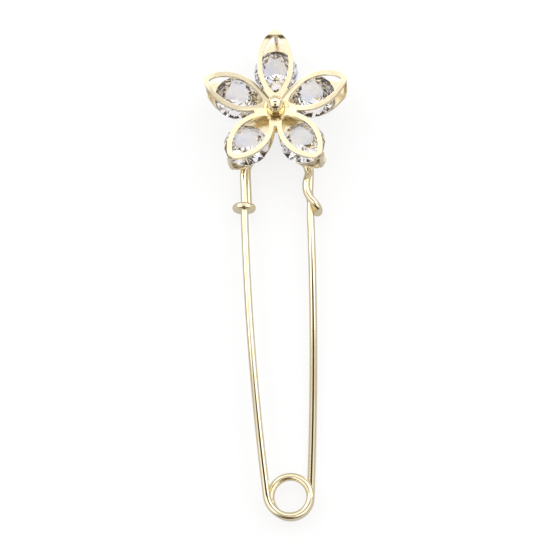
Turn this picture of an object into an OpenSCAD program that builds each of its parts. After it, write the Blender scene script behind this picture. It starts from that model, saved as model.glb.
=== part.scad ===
/* [Wire] */
// Diameter of the wire that the pin is bent from
wire_d = 1.25; // [1:0.05:1.5]
// Clear gap between two strands that cross or lie on each other
strand_gap = 0.06; // [0.03:0.01:0.12]
// Depth to which the wire is soldered into the back plate
solder_bite = 0.1; // [0.05:0.01:0.2]

/* [Coil] */
// Radius of the coil's centreline
coil_r = 3.1; // [2.4:0.1:4.2]
// Clear gap between the coil's turns
coil_gap = 0.17; // [0.1:0.01:0.4]
// How far the leg enters outside the coil's round
coil_lead = 0.5; // [0:0.1:1]
// How far the coil lies to the right of the flower's middle
coil_x = 2.25; // [1:0.25:3]
// Distance from the flower's middle down to the coil's middle
pin_len = 62.9; // [50:1:80]

/* [Legs] */
// Distance from the flower's middle down to the stop bead and the catch
catch_drop = 16.05; // [15.5:0.5:20]
// Outward bow of the fixed leg
leg_bow = 0.57; // [0:0.1:1.5]
// Outward bow of the needle
needle_bow = 0.57; // [0:0.1:1.5]
// Distance of the needle's tip to the right of the flower's middle
needle_x = 5.28; // [4.6:0.1:6]
// How far the needle's tip stands above the catch
needle_over = 4.35; // [3:0.1:5]
// Length of the needle's tapered point
point_len = 7; // [3:0.5:12]
// Diameter of the needle's blunted tip
point_d = 0.24; // [0.1:0.02:0.5]

/* [Stop bead] */
// Diameter of the stop bead
bead_d = 3.8; // [3.6:0.05:5]
// Length of the stop bead along the wire
bead_len = 1.3; // [1:0.1:2.5]
// Distance of the stop bead's middle to the left of the flower's middle
bead_x = 5.25; // [4.6:0.1:6]
// Clearance of the strands in the stop bead's bore
bead_gap = 0.06; // [0.04:0.01:0.1]

/* [Flower] */
// Length of one petal's pointed oval, seen from above
petal_len = 11.3; // [10.8:0.1:12]
// Width of one petal's pointed oval
petal_w = 5.9; // [5.4:0.1:6.6]
// How far a petal's middle lies outside the ring of the stones' middles
petal_out = 0.2; // [0:0.05:0.5]
// Length of the petal's pointed end that the folded tip takes up
tip_cut = 0.15; // [0.1:0.01:0.2]
// Width of the open petal's rim
rim_w = 0.78; // [0.6:0.02:1]
// Thickness of the sheet that both plates are cut from
sheet_t = 0.65; // [0.5:0.05:0.7]
// Angle at which the front petals rise from the middle
cup_angle = 16.5; // [15:0.5:20]
// Radius of the solid middle that joins the petals
hub_r = 3.6; // [3:0.1:4.2]
// Thickness of a folded tip, hammered thinner than the sheet
fold_t = 0.5; // [0.4:0.05:0.6]
// Width of a folded tip
strap_w = 0.7; // [0.5:0.05:0.9]
// Width of a folded tip's neck, where it leaves the front plate
neck_w = 0.5; // [0.4:0.05:0.7]
// Width of a folded tip's claw behind the back plate
claw_w = 0.6; // [0.5:0.05:0.8]
// Length of the claw behind the back plate
claw_len = 0.75; // [0.5:0.05:0.9]
// Radius of the back plate's blunt petal tips
blunt_r = 1.7; // [1.4:0.1:2]
// How far the back plate's tips lie inside the folded tips' outer faces
blunt_step = 0.15; // [0.1:0.01:0.2]
// Diameter of the collar that parts the two plates at the middle
collar_d = 2.6; // [2:0.1:3.2]
// Clearance between pieces that are clinched or riveted together
seat_gap = 0.05; // [0.03:0.01:0.1]

/* [Stones] */
// Diameter of a stone at its girdle
stone_d = 7.2; // [6.6:0.1:7.3]
// Clear gap between neighbouring stones, if each lies at its petal's middle
stone_apart = 0.44; // [0.3:0.02:0.8]
// Share of the stone's diameter that its table takes
table_share = 0.53; // [0.48:0.01:0.6]
// Height of the crown above the girdle
crown_h = 1; // [0.8:0.05:1.1]
// Height of the girdle
girdle_h = 0.2; // [0.1:0.05:0.3]
// Depth of the pavilion below the girdle
pavilion_h = 2.25; // [1.9:0.05:2.4]
// Clearance of a stone above the edge of its seat
stone_gap = 0.06; // [0.03:0.01:0.12]
// Clearance of the front petals above the stones' crowns
crown_gap = 0.06; // [0.03:0.01:0.12]
// Outward tilt of a stone in the cup of the petals
stone_tilt = 7; // [4:0.5:9]
// Diameter of the round seat under a stone
seat_d = 4.9; // [4.4:0.1:5]

/* [Centre bead] */
// Diameter of the ball at the flower's middle
ball_d = 2.7; // [2:0.1:3.2]
// Diameter of the rivet shank below the ball
shank_d = 1.3; // [1:0.05:1.5]
// Diameter of the rivet's peened tail
tail_d = 2.1; // [1.8:0.1:2.4]
// Height of the rivet's peened tail
tail_h = 0.4; // [0.3:0.05:0.6]

/* [Hidden] */
gold = [0.93, 0.79, 0.47];
petals = 5;
wire_sides = 12;
round_fn = 48;

// Levels of the strands above the surface that the brooch lies on
wire_r = wire_d / 2;
strand_step = wire_d + strand_gap;
coil_pitch = wire_d + coil_gap;
z_back = wire_r;
z_needle = z_back + strand_step;

// The two strands in the stop bead lie on each other, a little apart sideways
bead_shift = 0.1;
strand_shift = 0.5;
strand_rise = sqrt(pow(strand_step, 2) - pow(strand_shift, 2));
z_bead = bead_d / 2;
z_upper = z_bead + strand_rise / 2;
z_lower = z_bead - strand_rise / 2;
x_upper = -bead_x + bead_shift;
x_lower = x_upper + strand_shift;
bead_top = -catch_drop + bead_len / 2;
bead_foot = -catch_drop - bead_len / 2;

// Coil and needle
coil_at = [coil_x, -pin_len];
split_angle = 717;
start_angle = 180;
lead_angle = 110;
step_angle = 17.9;
needle_split = 0.05;
tip_y = -catch_drop + needle_over;
foot = coil_point(split_angle);

// The flower seen from above
stone_ring_r = (stone_d + stone_apart) / (2 * sin(180 / petals));
petal_mid = stone_ring_r + petal_out;
strap_r = petal_mid + petal_len / 2 - tip_cut;
petal_arc = (pow(petal_len, 2) + pow(petal_w, 2)) / (4 * petal_w);
petal_off = petal_arc - petal_w / 2;
strap_out = strap_r - seat_gap / 2;
middle_y = (strap_r - pin_len - coil_r - wire_r) / 2;
plate_reach = strap_out - fold_t - seat_gap;

// Each stone slides a little in its cage: the outward and sideways drift of each, as shares of a stone's
// diameter, from the top one round to the left
stone_drift = [-0.042, 0.028, 0.205, 0.139, -0.014];
stone_slip = [0, 0.028, -0.02, 0, 0];
// Each folded tip leans a little sideways, as a share of its width, in the same order
strap_lean = [0, -0.4, -0.4, 0.6, 0];

// Each stone's tilted pavilion stands clear of the inner edge of its seat
pavilion_slope = 2 * pavilion_h / stone_d;
seat_drop = pavilion_h + seat_d / 2 * (sin(stone_tilt) - pavilion_slope * cos(stone_tilt));
girdle_over = (seat_drop + stone_gap) / (cos(stone_tilt) + pavilion_slope * sin(stone_tilt));

// The front plate's height over the girdle level, where the edge of an open petal is just clear of a crown
table_r = stone_d / 2 * table_share;
facet_angle = 22.5;
crown_slope = crown_h / (stone_d / 2 - table_r);
cup_over = max([for (i = [0 : petals - 1]) for (x = [hub_r : 0.1 : plate_reach]) crown_over(i, x)]);

// Levels of the flower
z_plate = z_upper + wire_r - solder_bite;
z_claw = z_plate - seat_gap - fold_t;
z_collar = z_plate + sheet_t;
z_cup = z_collar + girdle_over + cup_over + crown_gap;
collar_h = z_cup - z_collar - seat_gap;

// The catch, a hairpin round the needle: each row is [across, along, level], in wire diameters from the
// needle where it passes the catch, and in strands, where 0 is behind the needle and 2 is in front of it
CATCH = [
    [-0.46, 3.19, 1.93],
    [-0.50, 2.50, 2.00],
    [-0.42, 1.85, 2.00],
    [-0.15, 1.23, 2.00],
    [0.26, 0.66, 2.00],
    [0.66, 0.20, 1.90],
    [0.97, -0.17, 1.58],
    [1.11, -0.44, 1.05],
    [1.02, -0.55, 0.52],
    [0.72, -0.38, 0.12],
    [0.38, 0.06, 0.00],
    [0.07, 0.81, 0.00],
    [-0.11, 2.20, 0.00],
    [-0.08, 3.40, 0.00]
];
// The arch of wire behind the flower: each row is [across, down], as shares of its foot's place
ARCH = [
    [1.00, 1.00],
    [0.93, 0.875],
    [0.77, 0.798],
    [0.611, 0.729],
    [0.515, 0.64],
    [0.455, 0.52],
    [0.36, 0.36],
    [0.18, 0.25],
    [0.00, 0.22]
];
arch_left = 5.3;
arch_right = 5.2;
arch_drop = 10.4;
// The lower arch, behind it, is a little further right and shorter
low_shift = 0.4;
low_spread = 0.2;
low_rise = 1.1;
low_left = arch_left - low_shift;
low_right = arch_right + low_spread;
low_drop = arch_drop - low_rise;
// Straight run of the strands above the stop bead, and how far the lower one ends inside it
bead_run = 0.7;
bead_end = 0.4;

function mix(a, b, t) = a + (b - a) * t;
function ease(t) = let (u = min(1, max(0, t))) u * u * (3 - 2 * u);
function unit(v) = v / norm(v);
function reverse(list) = [for (i = [len(list) - 1 : -1 : 0]) list[i]];

// How far the plate has to rise over the girdle level for a petal's open edge to clear a stone's crown
function crown_over(i, x) =
    let (from_mid = x - stone_ring_r - stone_d * stone_drift[i])
    let (open = sqrt(max(0, pow(petal_arc - rim_w, 2) - pow(x - petal_mid, 2))) - petal_off)
    let (edge = norm([from_mid, open + stone_d * abs(stone_slip[i])]))
    let (crown = min(crown_h, crown_h - (edge * cos(facet_angle) - table_r) * crown_slope))
    edge > stone_d / 2 ? 0 : girdle_h + crown + from_mid * tan(stone_tilt) - x * tan(cup_angle);

// A point of the coil at an angle in degrees: the last turn lies lowest, and the leg enters a little outside
function coil_point(a) =
    let (lead = max(0, (start_angle + lead_angle - a) / lead_angle))
    let (r = coil_r + coil_lead * lead * lead)
    [coil_at[0] + r * cos(a), coil_at[1] + r * sin(a), z_back + coil_pitch * (720 - a) / 360];

// The middle of a stone, in its petal's own directions: outward and sideways
function stone_place(i) = [stone_ring_r + stone_d * stone_drift[i], stone_d * stone_slip[i]];

// A point of the fixed leg, from the coil at 0 to the stop bead at 1
function leg_point(t) =
    let (low = coil_point(start_angle))
    let (across = mix(low[0], x_upper, t) - 4 * leg_bow * t * (1 - t))
    [across, mix(low[1], bead_foot, t), mix(low[2], z_upper, ease(t))];

// A point of the needle, from its foot at 0 to its tip at 1
function needle_point(t) =
    let (y = mix(foot[1], tip_y, t))
    let (up = (y - foot[1]) / (-catch_drop - foot[1]))
    [mix(foot[0], needle_x, t) + 4 * needle_bow * t * (1 - t), y, mix(z_back, z_needle, ease(up))];
catch_t = (-catch_drop - foot[1]) / (tip_y - foot[1]);
catch_at = needle_point(catch_t);

// Half of an arch, from its foot to its top, at a level
function arch_half(spread, drop, level) =
    [for (row = ARCH) [spread * row[0], -drop * row[1], level]];
function arch(left, right, drop, level) =
    let (back = reverse(arch_half(right, drop, level)))
    concat(arch_half(-left, drop, level), [for (p = back) if (p[0] > 0) p]);

function catch_point(row) =
    [catch_at[0] + wire_d * row[0], catch_at[1] + wire_d * row[1], z_back + strand_step * row[2]];

// A smooth curve through points, with a number of steps between each two
function curve_point(a, b, c, d, t) =
    0.5 * (2 * b + (c - a) * t + (2 * a - 5 * b + 4 * c - d) * t * t + (3 * b - a - 3 * c + d) * t * t * t);
function curve(p, steps) =
    let (last = len(p) - 1)
    concat([for (i = [0 : last - 1]) for (k = [0 : steps - 1])
        curve_point(p[max(0, i - 1)], p[i], p[i + 1], p[min(last, i + 2)], k / steps)], [p[last]]);

// The whole bent wire: coil, leg, stop bead, arch, catch, second arch and back into the stop bead
coil_path = [for (a = [split_angle : -step_angle : start_angle + 1]) coil_point(a)];
leg_path = [for (k = [0 : 11]) leg_point(k / 12)];
head_path = curve(concat(
    [for (y = [bead_foot, bead_top, bead_top + bead_run]) [x_upper, y, z_upper]],
    [[mix(x_upper, -arch_left, 0.6), mix(bead_top, -arch_drop, 0.6), z_upper]],
    arch(arch_left, arch_right, arch_drop, z_upper),
    [for (row = CATCH) catch_point(row)],
    reverse(arch(low_left, low_right, low_drop, z_back)),
    [[x_lower, mix(bead_top, -low_drop, 0.6), mix(z_back, z_lower, 0.5)]],
    [for (y = [bead_top + bead_run, bead_top, bead_foot + bead_end]) [x_lower, y, z_lower]]), 2);

// Frames carried along a path without twist, and the ring of points at each
function tangents(p) =
    [for (i = [0 : len(p) - 1]) unit(p[min(len(p) - 1, i + 1)] - p[max(0, i - 1)])];
function square_to(n, t) = unit(n - (n * t) * t);
function normals(t) =
    [for (i = 0, n = square_to([0, 0.02, 1], t[0]); i < len(t);
          i = i + 1, n = i < len(t) ? square_to(n, t[i]) : n) n];

// A tube of round section along a path, with a radius at each point, as one closed solid
module tube(path, radii) {
    t = tangents(path);
    n = normals(t);
    count = len(path);
    points = [for (i = [0 : count - 1]) for (k = [0 : wire_sides - 1])
        let (a = 360 * (k + 0.5) / wire_sides)
        path[i] + radii[i] * (cos(a) * n[i] + sin(a) * cross(t[i], n[i]))];
    sides = [for (i = [0 : count - 2]) for (k = [0 : wire_sides - 1])
        let (next = (k + 1) % wire_sides)
        let (a = i * wire_sides + k, b = i * wire_sides + next)
        [[a, a + wire_sides, b], [b, a + wire_sides, b + wire_sides]]];
    faces = concat(
        [for (pair = sides) for (face = pair) face],
        [[for (k = [0 : wire_sides - 1]) k]],
        [[for (k = [wire_sides - 1 : -1 : 0]) (count - 1) * wire_sides + k]]);
    polyhedron(points = points, faces = faces, convexity = 10);
}

// Moves a piece so that the whole brooch lies centred on the origin
module placed() {
    translate([0, -middle_y, 0])
        children();
}

// Outline of a petal that points along X, shrunk by an inset
module petal_outline(inset) {
    intersection_for (side = [-1, 1])
        translate([petal_mid, side * petal_off])
            circle(r = petal_arc - inset, $fn = 180);
}

module each_petal() {
    for (i = [0 : petals - 1])
        rotate([0, 0, 90 + 360 * i / petals])
            children();
}

// The flower's outline seen from above, with its petals cut off square at a reach
module star_outline(reach) {
    circle(r = hub_r, $fn = 90);
    each_petal()
        intersection() {
            petal_outline(0);
            translate([0, -petal_w])
                square([reach, 2 * petal_w]);
        }
}

// The back plate's outline: the same flower with blunt petal tips, each notched where a folded tip lies
module back_outline() {
    notch_w = strap_w + 2 * seat_gap;
    difference() {
        union() {
            circle(r = hub_r, $fn = 90);
            each_petal()
                hull() {
                    intersection() {
                        petal_outline(0);
                        translate([0, -petal_w])
                            square([plate_reach, 2 * petal_w]);
                    }
                    translate([strap_out - blunt_step - blunt_r, 0])
                        circle(r = blunt_r, $fn = 60);
                }
        }
        for (i = [0 : petals - 1])
            rotate([0, 0, 90 + 360 * i / petals])
                translate([plate_reach, strap_w * strap_lean[i] - notch_w / 2])
                    square([petal_w, notch_w]);
    }
}

// The space above a shallow five-sided funnel, with one flat side under each petal
module above_funnel(z) {
    across = 1.3 * strap_r;
    translate([0, 0, z])
        rotate([0, 0, 90 + 180 / petals])
            cylinder(r1 = 0, r2 = across / cos(180 / petals), h = across * tan(cup_angle), $fn = petals);
}

// The open front plate, rising from its middle to the petals' tips
module front_plate() {
    intersection() {
        linear_extrude(height = z_cup + strap_r / 2)
            difference() {
                star_outline(strap_out);
                each_petal() petal_outline(rim_w);
                circle(d = shank_d + 2 * seat_gap, $fn = round_fn);
            }
        difference() {
            above_funnel(z_cup);
            above_funnel(z_cup + sheet_t / cos(cup_angle));
        }
    }
}

// A petal's tip folded back: a strap below a narrow neck, with a claw that turns in behind the back plate
module folded_tip(side) {
    z_tip = z_cup + strap_out * tan(cup_angle) + sheet_t / 2;
    z_neck = z_tip - strap_w;
    z_low = z_plate + sheet_t;
    translate([strap_out - fold_t, 0, 0])
        rotate([90, 0, 90])
            linear_extrude(height = fold_t)
                polygon([[side - claw_w / 2, z_claw], [side + claw_w / 2, z_claw],
                         [side + strap_w / 2, z_low], [side + strap_w / 2, z_neck],
                         [neck_w / 2, z_tip], [-neck_w / 2, z_tip],
                         [side - strap_w / 2, z_neck], [side - strap_w / 2, z_low]]);
    translate([strap_out - fold_t - claw_len, side - claw_w / 2, z_claw])
        cube([claw_len + fold_t / 2, claw_w, fold_t]);
}

module front_frame() {
    color(gold)
        placed() {
            front_plate();
            for (i = [0 : petals - 1])
                rotate([0, 0, 90 + 360 * i / petals])
                    folded_tip(strap_w * strap_lean[i]);
        }
}

// The flat plate behind the stones, with a round seat for each, and the collar on it
module back_plate() {
    translate([0, 0, z_plate])
        linear_extrude(height = sheet_t)
            difference() {
                back_outline();
                for (i = [0 : petals - 1])
                    rotate([0, 0, 90 + 360 * i / petals])
                        translate(stone_place(i))
                            circle(d = seat_d, $fn = round_fn);
                circle(d = shank_d + 2 * seat_gap, $fn = round_fn);
            }
    translate([0, 0, z_collar - sheet_t / 2])
        difference() {
            cylinder(d = collar_d, h = collar_h + sheet_t / 2, $fn = round_fn);
            translate([0, 0, -sheet_t])
                cylinder(d = shank_d + 2 * seat_gap, h = collar_h + 3 * sheet_t, $fn = round_fn);
        }
}

module pin_frame() {
    path = concat(coil_path, leg_path, head_path);
    color(gold)
        placed() {
            tube(path, [for (p = path) wire_r]);
            back_plate();
        }
}

module needle() {
    steps = 26;
    ts = concat([for (k = [0 : steps - 1]) k / steps * 0.9], [0.9, 0.93, 0.96, 0.985, 1]);
    span = tip_y - foot[1];
    path = [for (t = ts) needle_point(mix(needle_split / span, 1, t))];
    color(gold)
        placed()
            tube(path, [for (t = ts) mix(point_d / 2, wire_r, min(1, (1 - t) * span / point_len))]);
}

module stop_bead() {
    half = bead_len / 2;
    bore_d = wire_d + 2 * bead_gap;
    color(gold)
        placed()
            difference() {
                translate([-bead_x, -catch_drop, z_bead])
                    rotate([90, 0, 0])
                        rotate_extrude($fn = 64)
                            intersection() {
                                union() {
                                    translate([bead_d / 2 - half, 0])
                                        circle(r = half, $fn = round_fn);
                                    translate([0, -half])
                                        square([bead_d / 2 - half, bead_len]);
                                }
                                translate([0, -half])
                                    square([bead_d, bead_len]);
                            }
                for (at = [[x_upper, z_upper], [x_lower, z_lower]])
                    translate([at[0], bead_top + bead_len, at[1]])
                        rotate([90, 0, 0])
                            cylinder(d = bore_d, h = 3 * bead_len, $fn = round_fn);
            }
}

module centre_bead() {
    hole_r = shank_d / 2 + seat_gap;
    ball_r = ball_d / 2;
    z_seat = z_cup + sheet_t / cos(cup_angle) + hole_r * tan(cup_angle);
    z_ball = z_seat + seat_gap + sqrt(pow(ball_r, 2) - pow(hole_r, 2));
    z_tail = z_plate - seat_gap - tail_h;
    color(gold)
        placed() {
            translate([0, 0, z_ball])
                sphere(r = ball_r, $fn = 96);
            translate([0, 0, z_tail + tail_h / 2])
                cylinder(d = shank_d, h = z_ball - z_tail - tail_h / 2, $fn = round_fn);
            translate([0, 0, z_tail])
                cylinder(d = tail_d, h = tail_h, $fn = round_fn);
        }
}

// A ring of points at a height, the first at an angle
function ring(r, count, first, z) =
    [for (k = [0 : count - 1]) let (a = first + 360 * k / count) [r * cos(a), r * sin(a), z]];

// A round brilliant with its girdle's lower edge at height 0: table, 8 stars, 8 kites and 16 upper
// girdle facets above, 16 lower girdle facets and 8 mains below
module brilliant() {
    r = stone_d / 2;
    star_r = mix(table_r, r, 0.52);
    lower_r = r * 0.28;
    z_top = girdle_h + crown_h;
    z_star = z_top - (star_r * cos(facet_angle) - table_r) * crown_slope;
    z_low = -pavilion_h + lower_r * cos(facet_angle) * pavilion_slope;
    points = concat(
        ring(table_r, 8, 0, z_top),
        ring(star_r, 8, facet_angle, z_star),
        ring(r, 16, 0, girdle_h),
        ring(r, 16, 0, 0),
        ring(lower_r, 8, facet_angle, z_low),
        [[0, 0, -pavilion_h]]);
    faces = concat(
        [[for (k = [7 : -1 : 0]) k]],
        [for (k = [0 : 7]) [k, (k + 1) % 8, 8 + k]],
        [for (k = [0 : 7]) [k, 8 + k, 16 + 2 * k]],
        [for (k = [0 : 7]) [k, 16 + 2 * k, 8 + (k + 7) % 8]],
        [for (k = [0 : 7]) [8 + k, 16 + 2 * k + 1, 16 + 2 * k]],
        [for (k = [0 : 7]) [8 + k, 16 + (2 * k + 2) % 16, 16 + 2 * k + 1]],
        [for (k = [0 : 15]) [16 + k, 16 + (k + 1) % 16, 32 + (k + 1) % 16]],
        [for (k = [0 : 15]) [16 + k, 32 + (k + 1) % 16, 32 + k]],
        [for (k = [0 : 7]) [32 + 2 * k, 32 + 2 * k + 1, 48 + k]],
        [for (k = [0 : 7]) [32 + 2 * k + 1, 32 + (2 * k + 2) % 16, 48 + k]],
        [for (k = [0 : 7]) [56, 32 + 2 * k, 48 + k]],
        [for (k = [0 : 7]) [56, 48 + (k + 7) % 8, 32 + 2 * k]]);
    polyhedron(points = points, faces = faces, convexity = 4);
}

// A stone in its place, counted from the top petal round to the left
module stone(i) {
    color([0.88, 0.89, 0.94])
        placed()
            rotate([0, 0, 90 + 360 * i / petals])
                translate(concat(stone_place(i), [z_collar + girdle_over]))
                    rotate([0, -stone_tilt, 0])
                        rotate([0, 0, 11.25 * i])
                            brilliant();
}

module stone_1() { stone(0); }
module stone_2() { stone(1); }
module stone_3() { stone(2); }
module stone_4() { stone(3); }
module stone_5() { stone(4); }

pin_frame();
needle();
stop_bead();
front_frame();
centre_bead();
stone_1();
stone_2();
stone_3();
stone_4();
stone_5();
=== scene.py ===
import math

import bpy
import numpy as np
from mathutils import Matrix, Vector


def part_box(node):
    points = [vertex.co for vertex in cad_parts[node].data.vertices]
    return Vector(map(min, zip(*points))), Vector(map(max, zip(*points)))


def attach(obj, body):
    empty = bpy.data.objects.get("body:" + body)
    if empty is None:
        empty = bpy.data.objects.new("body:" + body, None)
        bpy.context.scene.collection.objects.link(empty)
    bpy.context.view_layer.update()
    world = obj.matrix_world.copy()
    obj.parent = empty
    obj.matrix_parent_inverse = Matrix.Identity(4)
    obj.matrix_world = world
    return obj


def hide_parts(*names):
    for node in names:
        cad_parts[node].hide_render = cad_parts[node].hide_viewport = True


# Safety pin brooch: the looks of its wire, plates, bead, ball and cut stones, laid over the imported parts.

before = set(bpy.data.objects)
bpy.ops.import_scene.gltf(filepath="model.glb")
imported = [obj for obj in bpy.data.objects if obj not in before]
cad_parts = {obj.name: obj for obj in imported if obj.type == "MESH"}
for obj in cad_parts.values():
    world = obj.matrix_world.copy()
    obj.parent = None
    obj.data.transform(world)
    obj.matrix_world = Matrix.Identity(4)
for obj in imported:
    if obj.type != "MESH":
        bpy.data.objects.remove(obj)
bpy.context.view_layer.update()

MM = 0.001

# Sizes in millimetres, as in the part's source
WIRE_D = 1.25
STRAND_GAP, SOLDER_BITE = 0.06, 0.1
COIL_R, COIL_GAP, COIL_LEAD, COIL_X, PIN_LEN = 3.1, 0.17, 0.5, 2.25, 62.9
TOP_ANGLE, SPLIT_ANGLE, START_ANGLE, LEAD_ANGLE = 720.0, 717.0, 180.0, 110.0
CATCH_DROP, LEG_BOW, NEEDLE_BOW, NEEDLE_X, NEEDLE_OVER = 16.05, 0.57, 0.57, 5.28, 4.35
POINT_LEN, POINT_D = 7.0, 0.24
BEAD_D, BEAD_LEN, BEAD_X, BEAD_SHIFT, STRAND_SHIFT = 3.8, 1.3, 5.25, 0.1, 0.5
PETALS, PETAL_LEN, PETAL_W, PETAL_OUT, TIP_CUT = 5, 11.3, 5.9, 0.2, 0.15
RIM_W, SHEET_T, CUP_ANGLE, HUB_R = 0.78, 0.65, math.radians(16.5), 3.6
FOLD_T, STRAP_W, NECK_W, CLAW_W, CLAW_LEN = 0.5, 0.7, 0.5, 0.6, 0.75
BLUNT_R, BLUNT_STEP = 1.7, 0.15
COLLAR_D, SEAT_GAP, SEAT_D = 2.6, 0.05, 4.9
STONE_D, STONE_APART = 7.2, 0.44
STONE_DRIFT = [-0.042, 0.028, 0.205, 0.139, -0.014]
STONE_SLIP = [0.0, 0.028, -0.02, 0.0, 0.0]
STRAP_LEAN = [0.0, -0.4, -0.4, 0.6, 0.0]
BALL_D, SHANK_D, TAIL_D, TAIL_H = 2.7, 1.3, 2.1, 0.4

WIRE_HALF = WIRE_D / 2
STRAND_STEP = WIRE_D + STRAND_GAP
COIL_PITCH = WIRE_D + COIL_GAP
Z_BACK = WIRE_HALF
STRAND_RISE = math.sqrt(STRAND_STEP ** 2 - STRAND_SHIFT ** 2)
Z_BEAD = BEAD_D / 2
Z_UPPER, Z_LOWER = Z_BEAD + STRAND_RISE / 2, Z_BEAD - STRAND_RISE / 2
X_UPPER = -BEAD_X + BEAD_SHIFT
X_LOWER = X_UPPER + STRAND_SHIFT
BEAD_TOP, BEAD_FOOT = -CATCH_DROP + BEAD_LEN / 2, -CATCH_DROP - BEAD_LEN / 2
TIP_Y = -CATCH_DROP + NEEDLE_OVER
STONE_RING_R = (STONE_D + STONE_APART) / (2 * math.sin(math.pi / PETALS))
PETAL_MID = STONE_RING_R + PETAL_OUT
STRAP_R = PETAL_MID + PETAL_LEN / 2 - TIP_CUT
STRAP_OUT = STRAP_R - SEAT_GAP / 2
PLATE_REACH = STRAP_OUT - FOLD_T - SEAT_GAP
PETAL_ARC = (PETAL_LEN ** 2 + PETAL_W ** 2) / (4 * PETAL_W)
PETAL_OFF = PETAL_ARC - PETAL_W / 2
MIDDLE_Y = (STRAP_R - PIN_LEN - COIL_R - WIRE_HALF) / 2
Z_PLATE = Z_UPPER + WIRE_HALF - SOLDER_BITE
Z_COLLAR = Z_PLATE + SHEET_T
Z_CLAW = Z_PLATE - SEAT_GAP - FOLD_T
TILT = math.tan(CUP_ANGLE)
FRONT_REACH_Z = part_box("front_frame")[1].z / MM               # upper face of the front plate at its reach
Z_CUP = FRONT_REACH_Z - SHEET_T / math.cos(CUP_ANGLE) - STRAP_OUT * TILT
Z_TOP = Z_CUP + SHEET_T / math.cos(CUP_ANGLE)
Z_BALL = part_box("centre_bead")[1].z / MM - BALL_D / 2
HOLE_R = SHANK_D / 2 + SEAT_GAP

# Sizes of the finer forms, in millimetres
WIRE_R, WIRE_SIDES, TURNED_SIDES = 0.61, 40, 72               # between the solid tube's flats and corners
SKIN = 0.01                                                   # how far a turned face is drawn in from its size
ARCH_LEFT, ARCH_RIGHT, ARCH_DROP = 5.3, 5.2, 10.4             # the wire's front strand behind the flower
LOW_LEFT, LOW_RIGHT, LOW_DROP = 4.9, 5.4, 9.3                 # the strand that lies behind it
STRAIGHT_RUN, TAIL_OVER, TURN_SHARE = 0.7, 0.4, 0.6           # past the bead, and on the way to the arch
TONGUE_FROM, TONGUE_TO, TONGUE_THIN = 14, 1.2, 0.03           # the needle's inner end: two angles, a step in
BEAD_BORE, BEAD_DISH = 0.3, 0.12
TIP_ROUND, TIP_STEPS, NOTCH_MOUTH = 0.7, 8, 1.15
VALLEY_FROM, MIDDLE_ROUND = math.radians(26), 0.45
DROOP_FROM, END_SLOPE = 10.2, -0.12
TIP_DROOP = (TILT - END_SLOPE) / (2 * (STRAP_OUT - DROOP_FROM))
STRAP_T, STRAP_BEND, STRAP_BULGE, BULGE_RUN = 0.44, 0.36, 0.09, 1.2
STRAP_INSET, JOIN_IN, JOIN_SUNK, JOIN_LAP = 0.03, 0.4, 0.14, 0.3   # where a folded tip leaves the rim
FRONT_T, OPENING_END, END_POWER = 0.62, 4.56, 26.0
FRONT_EDGE, BACK_EDGE, SEAM_MERGE = 0.13, 0.07, 0.002         # rounding of two plates' edges, and welding
FOOT_RISE = [0.02, 0.02, 0.02, 0.3, 0.02]
ACROSS = np.array([0, 0.08, 0.25, 0.5, 0.75, 0.92, 1.0])
HUB_ACROSS = np.array([0, 0.06, 0.2, 0.4, 0.6, 0.8, 0.94, 1.0])
COLLAR_SUNK, COLLAR_EDGE, BORE_EDGE, COLLAR_SIDES = 0.3, 0.06, 0.04, 64
SEAM_HALF, SEAM_FLAT, SEAM_REACH, SEAM_FOOT, SEAM_SIDES = 0.86, 0.42, 2.1, -4.4, 32


# Meshes
def placed(points):
    """Moves points from the flower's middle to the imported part's frame, and millimetres to metres."""
    return (np.asarray(points, float) - [0, MIDDLE_Y, 0]) * MM


def new_piece(name, verts, faces, body, uv=None):
    """A mesh object from points and faces, riding on a body. uv holds two numbers for each face corner."""
    mesh = bpy.data.meshes.new(name)
    mesh.from_pydata(np.asarray(verts).tolist(), [], [list(map(int, f)) for f in faces])
    if uv is not None:
        layer = mesh.uv_layers.new(name="along")
        layer.data.foreach_set("uv", np.asarray(uv, np.float32).ravel())
    mesh.polygons.foreach_set("use_smooth", np.ones(len(mesh.polygons), bool))
    mesh.validate()
    mesh.update()
    piece = bpy.data.objects.new(name, mesh)
    bpy.context.scene.collection.objects.link(piece)
    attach(piece, body)
    return piece


def unit(v):
    """Each vector divided by its own length."""
    return v / np.linalg.norm(v, axis=-1, keepdims=True)


def carried_frames(path):
    """Tangents along a path, and two directions square to them that are carried along it without twist."""
    t = unit(np.gradient(path, axis=0))
    n = np.zeros_like(path)
    upward = np.array([0, 0.02, 1])
    n[0] = unit(upward - np.dot(upward, t[0]) * t[0])
    for i in range(1, len(path)):
        n[i] = unit(n[i - 1] - np.dot(n[i - 1], t[i]) * t[i])
    return t, n, np.cross(t, n)


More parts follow.
